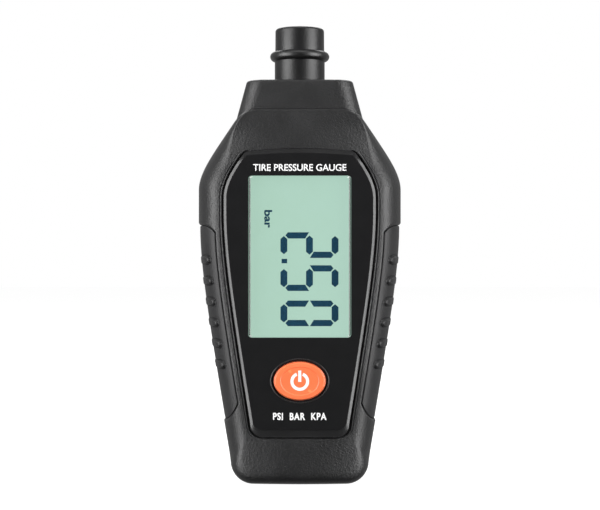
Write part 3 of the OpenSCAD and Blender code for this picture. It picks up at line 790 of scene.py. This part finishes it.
def display_digits():
    """Reading on the display: raised strokes of every digit and the point."""
    parts = []
    for place, digit in zip(digit_places, "250"):
        for name in SEGMENTS[digit]:
            u, v = np.array(segment(name)).T
            parts.append(prism(np.stack([digit_x + v, place - u], -1), glass_y - 0.04, glass_y + 0.02))
    parts.append(block(-5.7, -3.95, glass_y - 0.04, glass_y + 0.02, 69.7, 71.1))
    return solid("display_digits", join(parts))


def lettering(name, words, size, centre, y, bold, spacing=1.0, turned=False, back=False):
    """Words as a thin raised mesh, fitted to a size (along, up) about a centre (x, z) at depth y."""
    curve = bpy.data.curves.new(name, "FONT")
    curve.body, curve.extrude, curve.offset, curve.space_character = words, 0.01, bold, spacing
    curve.resolution_u = 6
    text = placed(name, curve)
    graph = bpy.context.evaluated_depsgraph_get()
    mesh = bpy.data.meshes.new_from_object(text.evaluated_get(graph))
    bpy.data.objects.remove(text)
    points = np.array([v.co for v in mesh.vertices])
    faces = [list(p.vertices) for p in mesh.polygons]
    low, high = points.min(0), points.max(0)
    u, v, w = ((points - (low + high) / 2) / (high - low) * np.array([*size, letter_t])).T
    x, z = (v, -u) if turned else (u, v)
    out = 1 if back else -1
    return solid(name, (np.stack([centre[0] - out * x, y + out * w, centre[1] + z], -1), faces))


def button_height(rho):
    """How far the button stands forward at a share of its radius: rolled edge, rim, shallow dish."""
    crown = button_front + 0.5 * smooth((rho - 0.93) / 0.07) ** 1.5 + 0.3 * np.maximum(0, rho - 0.76)
    return crown + 0.16 * smooth((0.77 - rho) / 0.06)


def power_button():
    """Oval button: rings of shrinking ovals carried through the dished profile, closed at the middle."""
    rho = np.concatenate([np.linspace(1, 0.97, 4), np.linspace(0.96, 0.6, 46), np.linspace(0.57, 0.02, 20)])
    flange = [lay(oval(2.1, 1.9), y) for y in (-11.9, -12.65)]
    wall = [lay(oval(), y) for y in (-12.9, -14.5, face_y + 0.15)]
    cap = [lay(oval(share=r), button_height(r)) for r in rho]
    return solid("power_button_cap", loft(np.array(flange + wall + cap)), 40)


def power_symbol():
    """Ring with a gap at its top and a bar through the gap, lying on the dish."""
    centre_z, ring_out, ring_in, gap, bar_half, bar_up = 32.9, 2.92, 1.96, 0.94, 0.47, 3.4
    clear = math.asin(gap / ((ring_out + ring_in) / 2))
    a = np.linspace(np.pi / 2 + clear, np.pi * 2.5 - clear, 60)
    across = np.linspace(ring_in, ring_out, 5)
    ring = np.stack([across * np.cos(a)[:, None], centre_z + across * np.sin(a)[:, None]], -1)
    rise = np.linspace(centre_z - 0.1, centre_z + bar_up, 20)
    u, v = np.meshgrid(np.linspace(-bar_half, bar_half, 5), rise)
    parts = []
    for xz in (ring, np.stack([u, v], -1)):
        rho = np.hypot(xz[..., 0] / button_a, (xz[..., 1] - button_z) / button_b)
        parts.append(slab(lay(xz, button_height(rho) - 0.035), lay(xz, button_height(rho) + 0.05)))
    return solid("power_symbol", join(parts))


# ---- nozzle -----------------------------------------------------------------------------------

nozzle_r, bore_r, seal_z, ring_z, ring_r = 8.03, 5.5, 132.5, 136.0, 1.6


def nozzle():
    """Nozzle turned about +Z: stem, seat for the ring, slightly drawn-in head, rounded mouth, bore."""
    a = np.radians(np.linspace(-62, 62, 14))
    groove = [(nozzle_r - 0.1 - 0.9 * math.cos(t), ring_z + 1.25 * math.sin(t)) for t in a]
    t = np.radians(np.linspace(0, 90, 9))
    head_r, mouth = nozzle_r - 0.2, 1.0
    lip = [(head_r - mouth + mouth * math.cos(q), total_h - mouth + mouth * math.sin(q)) for q in t]
    profile = [(1.6, 118), (nozzle_r, 118), (nozzle_r, 124), (nozzle_r, 130)]
    profile += [(nozzle_r, groove[0][1] - 0.3), (nozzle_r - 0.02, groove[0][1])] + groove
    profile += [(head_r + 0.05, groove[-1][1] + 0.05), (head_r + 0.02, 140)] + lip
    profile += [(bore_r + 0.35, total_h), (bore_r + 0.1, total_h - 0.12), (bore_r, total_h - 0.35),
                (bore_r, seal_z), (3.5, seal_z), (3.5, seal_z - 3.5), (0.8, seal_z - 3.5), (0.8, 118)]
    return solid("nozzle_stem", revolve(profile, 160), 35)


def nozzle_o_ring():
    """Rubber ring: a torus, a little flattened, with a fine mould line round its outside."""
    a = np.linspace(0, 2 * np.pi, 48, endpoint=False)
    flash = 0.05 * np.exp(-((np.sin(a) / 0.06) ** 2)) * (np.cos(a) > 0)
    r = nozzle_r - 0.13 + (ring_r + flash) * np.cos(a)
    profile = np.stack([r, ring_z + ring_r * 0.96 * np.sin(a)], -1)
    return solid("nozzle_o_ring", revolve(profile, 160), 60)


# ---- battery door -----------------------------------------------------------------------------


def battery_door():
    """Door: the section of the case back carried across x, with rolled edges, ridges and an arrow."""
    path = foot_profile(0, door_y0)
    path = path[path[:, 1] >= 0][:-1]
    rise = np.linspace(foot_round + 0.1, door_top, 430)
    path = np.concatenate([path, np.stack([np.full(430, half_d), rise], -1)])
    y, z = path[:, :1], np.maximum(path[:, 1:], door_z0)
    near = np.array([1, 0.996, 0.985, 0.97])
    u = np.concatenate([-near, np.linspace(-0.95, 0.95, 96), near[::-1]])[None]
    corner = np.clip(z - (door_top - door_corner), 0, door_corner)
    reach = door_half - (door_corner - np.sqrt(door_corner**2 - corner**2))
    x = u * reach
    run = run_along(y[:, 0], z[:, 0])[:, None]
    border = np.minimum(np.minimum(run, run[-1] - run) + 0 * x, reach * (1 - np.abs(u)))
    sink = 0.25 * (1 - smooth(border / 0.4)) ** 2
    ridge = (z - 60) % 1.8
    grooves = smooth((0.5 - np.abs(ridge - 0.45)) / 0.16) * (z > 59.8) * (z < 69)
    sink = sink + 0.42 * grooves * smooth((5.2 - np.abs(x)) / 0.35)
    arrow = smooth((0.8 * (z - 52) - np.abs(x)) / 0.3) * smooth((56 - z) / 0.2)
    sink = sink + 0.25 * arrow
    ny = np.gradient(z[:, 0])[:, None]
    nz = -np.gradient(y[:, 0])[:, None]
    length = np.maximum(np.hypot(ny, nz), 1e-9)
    ny, nz = ny / length, nz / length

    def layer(s):
        return np.stack([x + 0 * s, y - s * ny + 0 * x, np.maximum(z - s * nz, door_z0) + 0 * x], -1)

    return solid("battery_door_cover", slab(layer(sink), layer(door_t + 0 * x)), 40)


# ---- materials --------------------------------------------------------------------------------


class Value:
    """An output socket of a material, so that shader maths reads as an expression."""

    def __init__(self, paint, socket):
        self.paint, self.socket = paint, socket

    def _math(self, operation, a, b):
        return self.paint.node("Math", {"operation": operation}, {0: a, 1: b})

    def __add__(self, other):
        return self._math("ADD", self, other)

    def __sub__(self, other):
        return self._math("SUBTRACT", self, other)

    def __rsub__(self, other):
        return self._math("SUBTRACT", other, self)

    def __mul__(self, other):
        return self._math("MULTIPLY", self, other)

    __radd__, __rmul__ = __add__, __mul__


class Paint:
    """A material of nodes around one Principled BSDF, which takes constants and values by name."""

    def __init__(self, name):
        self.material = bpy.data.materials.new(name)
        self.material.use_nodes = True
        self.tree = self.material.node_tree
        self.shader = self.tree.nodes["Principled BSDF"]
        self.coords = self.node("TexCoord", output="Object")

    def node(self, kind, settings=None, inputs=None, output=0):
        """Adds a node: its settings first, then its sockets' values or links; gives one output."""
        node = self.tree.nodes.new("ShaderNode" + kind)
        for key, value in (settings or {}).items():
            setattr(node, key, value)
        for key, value in (inputs or {}).items():
            self._feed(node.inputs[key], value)
        return Value(self, node.outputs[output])

    def _feed(self, socket, value):
        if isinstance(value, Value):
            self.tree.links.new(value.socket, socket)
        elif isinstance(value, tuple) and len(value) == 3 and socket.type == "RGBA":
            socket.default_value = (*value, 1)
        else:
            socket.default_value = value

    def noise(self, size, detail=2.0, rough=0.5, stretch=None):
        """Noise with features of a size in millimetres, optionally stretched along the axes."""
        place = self.coords
        if stretch:
            place = self.node("Mapping", None, {"Vector": place, "Scale": stretch})
        inputs = {"Vector": place, "Scale": 1 / (size * MM), "Detail": detail, "Roughness": rough}
        return self.node("TexNoise", {"noise_dimensions": "3D"}, inputs, "Fac")

    def cells(self, size):
        """Distance to the nearest point of a scatter with cells of a size in millimetres."""
        return self.node("TexVoronoi", None, {"Vector": self.coords, "Scale": 1 / (size * MM)}, "Distance")

    def blend(self, a, b, factor):
        """Colour between two colours."""
        return self.node("Mix", {"data_type": "RGBA"}, {0: factor, 6: a, 7: b}, 2)

    def ramp(self, value, low, high):
        """Value carried from low..high to 0..1, clamped."""
        return self.node("MapRange", {"clamp": True}, {0: value, 1: low, 2: high})

    def bump(self, height, distance, strength=1.0):
        """Normal from a height field, distance in millimetres."""
        inputs = {"Height": height, "Distance": distance * MM, "Strength": strength}
        return self.node("Bump", None, inputs, "Normal")

    def worn(self, low=0.505, high=0.56):
        """Share of wear along convex edges."""
        return self.ramp(self.node("NewGeometry", output="Pointiness"), low, high)

    def finish(self, **sockets):
        """Sets or links sockets of the shader, by name, and gives the material."""
        for key, value in sockets.items():
            self._feed(self.shader.inputs[key.replace("_", " ")], value)
        return self.material


def srgb(r, g, b):
    """Linear colour of a display colour from 0 to 255."""
    shares = (r / 255, g / 255, b / 255)
    return tuple(c / 12.92 if c <= 0.04045 else ((c + 0.055) / 1.055) ** 2.4 for c in shares)


def moulded(name, dark, light, rough, grain=0.32, bump=0.02, spread=0.1, level=0.5, glow=0.0):
    """Moulded plastic: spark-eroded grain, faint flow marks, polished spots and rubbed edges; glow adds a
    painted glow in its own colour.
    """
    p = Paint(name)
    fine, cloud, flow = p.noise(grain, 3, 0.6), p.noise(9, 2), p.noise(4, 2, 0.5, (1, 1, 0.25))
    tone = p.ramp(fine * 0.45 + cloud * 0.35 + flow * 0.2, 0.35, 0.65)
    colour = p.blend(p.blend(dark, light, tone), tuple(min(1, c * 2.2) for c in light), p.worn() * 0.35)
    roughness = rough + spread * (fine - 0.5) + spread * (cloud - 0.5) - 0.06 * p.worn()
    # glow: the plastic's own colour also emits, a painted glow that brightens it under any light.
    pits = p.cells(grain * 1.6)
    extra = {"Emission_Color": colour, "Emission_Strength": glow} if glow else {}
    return p.finish(Base_Color=colour, Roughness=roughness, Specular_IOR_Level=level,
                    Normal=p.bump(fine * 0.7 + pits * 0.3, bump, 0.8), **extra)


def rubber(name, dark, light, rough, level=0.4):
    """Soft-touch rubber: fine matte stipple, dust in the hollows, a slight shine where it is handled."""
    p = Paint(name)
    fine, cloud = p.noise(0.4, 3, 0.65), p.noise(7, 3)
    colour = p.blend(dark, light, p.ramp(fine * 0.4 + cloud * 0.6, 0.35, 0.68))
    roughness = rough + 0.12 * (cloud - 0.5) + 0.08 * (fine - 0.5) - 0.08 * p.worn(0.51, 0.6)
    return p.finish(Base_Color=colour, Roughness=roughness, Specular_IOR_Level=level,
                    Normal=p.bump(fine, 0.07, 0.8))


def metal(name, light, dark, rough, brushed=(1, 1, 1), dirt=0.3, grain=0.15):
    """Bare or plated metal: brushed lines or cast grain, tarnish in clouds, bright rubbed edges."""
    p = Paint(name)
    lines, cloud = p.noise(grain, 3, 0.6, brushed), p.noise(3, 3)
    tarnish = p.ramp(cloud, 0.45, 0.7) * dirt
    colour = p.blend(p.blend(light, dark, tarnish), light, p.worn() * 0.5)
    roughness = rough + 0.14 * (lines - 0.5) + 0.15 * tarnish
    return p.finish(Base_Color=colour, Metallic=1.0, Roughness=roughness, Normal=p.bump(lines, 0.006, 0.6))


def film(name, colour, sheen, rough):
    """Printed film: dense ink with a faint mottle, fine hard-coat texture, hairline scuffs."""
    p = Paint(name)
    mottle, fine, scuff = p.noise(5, 2), p.noise(0.12, 2), p.noise(1.2, 4, 0.7, (0.2, 1, 1.6))
    marks = p.ramp(scuff, 0.62, 0.74)
    tone = p.blend(colour, sheen, mottle * 0.6 + marks * 0.12)
    return p.finish(Base_Color=tone, Roughness=rough + 0.06 * (mottle - 0.5) + 0.1 * marks,
                    Specular_IOR_Level=0.35, Normal=p.bump(fine, 0.002, 0.5))


def ink(name, colour, rough=0.45, level=0.5):
    """Printed or moulded ink: slightly uneven density, soft sheen."""
    p = Paint(name)
    density = p.noise(0.35, 3)
    tone = p.blend(tuple(c * 0.9 for c in colour), colour, p.ramp(density, 0.3, 0.6))
    return p.finish(Base_Color=tone, Roughness=rough + 0.08 * (density - 0.5), Specular_IOR_Level=level,
                    Normal=p.bump(density, 0.004, 0.4))


def display_glass():
    """Lit display: a cool glow that shifts from green to blue across, with faint cell mottling."""
    p = Paint("display_glow")
    place = p.node("SeparateXYZ", None, {0: p.coords}, "X")
    across = p.ramp(place, -window_half * MM, window_half * MM)
    mottle = p.noise(6, 2) - 0.5
    hue = p.blend(srgb(172, 207, 189), srgb(176, 211, 195), across)
    tone = p.blend(hue, srgb(178, 213, 199), p.ramp(mottle, -0.1, 0.3) * 0.3)
    return p.finish(Base_Color=tuple(c * 0.08 for c in srgb(172, 207, 190)), Roughness=0.4 + 0.05 * mottle,
                    Specular_IOR_Level=0.1, Emission_Color=tone, Emission_Strength=1.02)


def clear(name, colour, rough, alpha, tint=0.0):
    """Clear plastic seen through: polished, with faint smears that dull it."""
    p = Paint(name)
    smear = p.noise(8, 3, 0.6, (1, 1, 0.5))
    return p.finish(Base_Color=p.blend(colour, tuple(c * 0.9 for c in colour), smear * tint),
                    Roughness=rough + 0.05 * smear, Alpha=alpha, Normal=p.bump(smear, 0.003, 0.3))


def board_paint():
    """Circuit board: green solder mask with the copper tracks showing through as lighter lines."""
    p = Paint("solder_mask")
    split = [p.node("SeparateXYZ", None, {0: p.coords}, axis) for axis in ("X", "Z")]
    waves = [p.node("Math", {"operation": "SINE"}, {0: axis * (2 * math.pi / (1.3 * MM))}) for axis in split]
    patch = p.ramp(p.noise(6, 1), 0.47, 0.5)
    track = p.ramp(waves[0], 0.3, 0.6) * patch + p.ramp(waves[1], 0.3, 0.6) * (1 - patch)
    tone = p.blend((0.006, 0.07, 0.03), (0.02, 0.16, 0.06), track)
    return p.finish(Base_Color=tone, Roughness=0.32 + 0.1 * p.noise(0.3), Normal=p.bump(track, 0.03, 0.7))


case_plastic = moulded("case_plastic", (0.006, 0.006, 0.0062), (0.0105, 0.0105, 0.011), 0.46, 0.5, 0.18)
nozzle_plastic = moulded("nozzle_plastic", (0.004, 0.004, 0.0042), (0.007, 0.007, 0.0073), 0.4, 0.42, 0.08,
                         level=0.38)
face_plastic = moulded("face_plastic", (0.012, 0.012, 0.0125), (0.018, 0.018, 0.0185), 0.34, 0.2, 0.006, 0.06)
grip_rubber = rubber("grip_rubber", (0.010, 0.010, 0.0105), (0.017, 0.017, 0.018), 0.52)
ring_rubber = rubber("ring_rubber", (0.006, 0.006, 0.006), (0.011, 0.011, 0.011), 0.34, 0.5)
face_film_ink = film("face_film_ink", (0.0065, 0.0065, 0.007), (0.0095, 0.0095, 0.01), 0.32)
# The button gets a painted glow: its colour also emits light, so it looks brighter than its lighting makes
# it.
button_plastic = moulded("button_plastic", (0.8, 0.14, 0.05), (0.88, 0.175, 0.065), 0.36, 0.25, 0.004, 0.06,
                         glow=0.06)
white_ink = ink("white_ink", (0.8, 0.8, 0.8), 0.45)
display_ink = ink("display_ink", (0.007, 0.042, 0.078), 0.5, 0.12)
print_ink = ink("print_ink", (0.03, 0.03, 0.035), 0.5)
# Colour, roughness and alpha. The pane's rim carries painted light: a grey painted reflection band down its
# sides and a painted highlight at its corners.
window_plastic = clear("window_plastic", (0.02, 0.03, 0.025), 0.05, 0.05)
window_rim_painted_reflection = clear("window_rim_painted_reflection", (0.1, 0.11, 0.1), 0.2, 0.92, 0.5)
window_corner_painted_highlight = clear("window_corner_painted_highlight", (0.8, 0.86, 0.82), 0.25, 0.75, 0.2)
steel = metal("plated_steel", (0.62, 0.62, 0.62), (0.3, 0.28, 0.25), 0.3)
screw_steel = metal("screw_steel", (0.36, 0.36, 0.37), (0.12, 0.11, 0.1), 0.36, (1, 1, 1), 0.5)
brass = metal("pin_brass", (0.75, 0.55, 0.25), (0.4, 0.26, 0.12), 0.28)
label_foil = metal("label_foil", (0.6, 0.6, 0.61), (0.42, 0.42, 0.43), 0.38, (0.05, 1, 1), 0.25)

# ---- pieces -----------------------------------------------------------------------------------

dress(front_case(), case_plastic, "case_plastic", "case", "front_case")
dress(rear_case(), case_plastic, "case_plastic", "case", "rear_case")
for side_x, name in ((-1, "left"), (1, "right")):
    piece = solid(f"grip_{name}", grip(side_x), 50)
    dress(piece, grip_rubber, "grip_rubber", "case", f"side_grip_{name}")
dress(face_bezel(), face_plastic, "face_plastic", "case", "face_bezel")
dress(face_film(), face_film_ink, "face_film", "case", "face_overlay")
dress(button_bead(), face_plastic, "face_film", "case")
lens = dress(window_lens(), window_plastic, "window_clear", "case", "display_window")
lens.data.materials.append(window_rim_painted_reflection)
lens.data.materials.append(window_corner_painted_highlight)
# Rim faces on the pane's left and right sides get the painted reflection band, and rim faces at its corners
# get the painted highlight.
painted_band_x, painted_highlight_z = window_half - rim_w - 0.02, (window_hi - window_lo) / 2 - 0.75
for face in lens.data.polygons:
    x, y, z = np.array(face.center) / MM
    in_painted_highlight = abs(z - (window_lo + window_hi) / 2) > painted_highlight_z and abs(x) > painted_band_x - 0.5
    if y < plate_y + 1.1:
        face.material_index = 2 if in_painted_highlight else int(abs(x) > painted_band_x)
dress(lcd_cell(), display_glass(), "lcd", "case", "lcd_glass")
dress(display_digits(), display_ink, "lcd", "case")
unit = lettering("display_unit", "bar", (5.65, 2.5), (-9.9, 83.6), glass_y - 0.01, 0.032, turned=True)
dress(unit, display_ink, "lcd", "case")
title = lettering("face_title", "TIRE PRESSURE GAUGE", (29.1, 2.15), (0, 99.6), face_y - 0.01, 0.014)
dress(title, white_ink, "face_film", "case")
units = lettering("face_units", "PSI  BAR  KPA", (16.7, 2.3), (0, 21.95), face_y - 0.01, 0.03, 1.15)
dress(units, white_ink, "face_film", "case")
dress(power_button(), button_plastic, "button_orange", "button", "power_button")
dress(power_symbol(), white_ink, "button_orange", "button")
dress(nozzle(), nozzle_plastic, "nozzle_plastic", "case", "nozzle_body")
dress(nozzle_o_ring(), ring_rubber, "ring_rubber", "case", "nozzle_ring")
dress(battery_door(), case_plastic, "case_plastic", "door", "battery_door")
label_lines = [("TIRE PRESSURE GAUGE", 25), ("0 - 150 psi    0 - 10.3 bar", 25), ("2 x AAA  1.5 V", 15)]
for k, (words, width) in enumerate(label_lines):
    place = (0, 97.5 - 5.6 * k)
    line = lettering(f"label_line_{k + 1}", words, (width, 1.9), place, label_high[1] + 0.01, 0.01, back=True)
    dress(line, print_ink, "label_silver", "case")


def repaint(material, *nodes):
    """Gives nodes of the frame a detailed material."""
    for node in nodes:
        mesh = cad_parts[node].data
        mesh.materials.clear()
        mesh.materials.append(material)


repaint(screw_steel, *[f"{kind}_screw_{i}" for kind in ("case", "board") for i in (1, 2, 3, 4)])
repaint(steel, "seal_retainer", "contact_bridge", "contact_positive", "contact_negative", "crystal_can",
        "switch_body", "tube_clip_lower", "tube_clip_upper")
repaint(brass, "depressor_pin")
repaint(label_foil, "rear_label")
repaint(rubber("seal_rubber", (0.012, 0.012, 0.012), (0.02, 0.02, 0.02), 0.5), "valve_seal")
repaint(rubber("strip_rubber", (0.62, 0.2, 0.24), (0.75, 0.3, 0.34), 0.5), "zebra_strip")
repaint(moulded("frame_white", (0.6, 0.6, 0.58), (0.72, 0.72, 0.7), 0.45), "lcd_frame", "pressure_sensor")
repaint(clear("guide_clear", (0.85, 0.9, 0.86), 0.2, 0.8, 0.3), "light_guide")
repaint(rubber("tube_silicone", (0.6, 0.6, 0.56), (0.72, 0.72, 0.68), 0.4), "air_tube")
repaint(board_paint(), "main_board")
repaint(moulded("chip_epoxy", (0.012, 0.012, 0.012), (0.024, 0.024, 0.024), 0.55), "mcu_chip",
        "amplifier_chip", "switch_plunger")
repaint(moulded("ceramic_tan", (0.32, 0.22, 0.13), (0.42, 0.3, 0.18), 0.5), "chip_capacitors",
        "backlight_led")
repaint(ink("cell_sleeve", (0.05, 0.13, 0.3), 0.3), "battery_left", "battery_right")

# ---- camera, light and floor ------------------------------------------------------------------

view_distance, view_height, view_x = 500.0, 72.3, 0.08
aim_height = 0.072
camera = placed("camera", bpy.data.cameras.new("camera"))
camera.data.lens, camera.data.sensor_width = 93.2, 36
camera.data.clip_start, camera.data.clip_end = 0.01, 50
camera.location = (view_x * MM, -view_distance * MM, view_height * MM)
camera.rotation_euler = (math.radians(90), 0, 0)
bpy.context.scene.camera = camera


def softbox(name, azimuth, elevation, distance, width, height, power):
    """Rectangular light aimed at the middle of the gauge; azimuth is measured from the face, to +X."""
    light = bpy.data.lights.new(name, "AREA")
    light.shape, light.size, light.size_y, light.energy = "RECTANGLE", width, height, power
    lamp = placed(name, light)
    a, e = math.radians(azimuth), math.radians(elevation)
    lamp.location = (distance * math.sin(a) * math.cos(e), -distance * math.cos(a) * math.cos(e),
                     aim_height + distance * math.sin(e))
    lamp.rotation_euler = (math.radians(90) - e, 0, a)
    lamp.visible_camera = False


for side_x in (-1, 1):
    softbox(f"side_softbox_{side_x}", 60 * side_x, 4, 1.0, 0.76, 1.2, 24)
softbox("top_softbox", 0, 66, 1.0, 0.9, 0.3, 3)
softbox("back_softbox", 180, 48, 1.2, 0.9, 0.6, 9)


def studio():
    """Even white surroundings for the eye; as light, brighter behind the gauge than before it."""
    world = bpy.data.worlds.new("studio")
    world.use_nodes = True
    nodes, links = world.node_tree.nodes, world.node_tree.links
    place = nodes.new("ShaderNodeTexCoord")
    split = nodes.new("ShaderNodeSeparateXYZ")
    spread = nodes.new("ShaderNodeMapRange")
    spread.inputs["From Min"].default_value, spread.inputs["From Max"].default_value = -0.35, 0.6
    spread.inputs["To Min"].default_value, spread.inputs["To Max"].default_value = 0.08, 0.42
    seen = nodes.new("ShaderNodeLightPath")
    level = nodes.new("ShaderNodeMath")
    level.operation = "MAXIMUM"
    links.new(place.outputs["Generated"], split.inputs[0])
    links.new(split.outputs["Y"], spread.inputs["Value"])
    links.new(spread.outputs[0], level.inputs[0])
    links.new(seen.outputs["Is Camera Ray"], level.inputs[1])
    links.new(level.outputs[0], nodes["Background"].inputs["Strength"])
    nodes["Background"].inputs["Color"].default_value = (1, 1, 1, 1)
    bpy.context.scene.world = world


def studio_floor():
    """Plain pale floor."""
    p = Paint("floor_paper")
    p.finish(Base_Color=(0.25, 0.25, 0.25), Roughness=0.9, Emission_Color=(1, 1, 1), Emission_Strength=0.9)
    reach, below = 3000, -0.02
    corners = np.array([[-reach, -reach, below], [reach, -reach, below], [reach, reach, below],
                        [-reach, reach, below]])
    mesh = bpy.data.meshes.new("floor")
    mesh.from_pydata((corners * MM).tolist(), [], [[0, 1, 2, 3]])
    mesh.materials.append(p.material)
    floor = placed("floor", mesh)
    floor.visible_glossy = floor.visible_diffuse = False


studio()
studio_floor()
bpy.context.scene.view_settings.view_transform = "Standard"
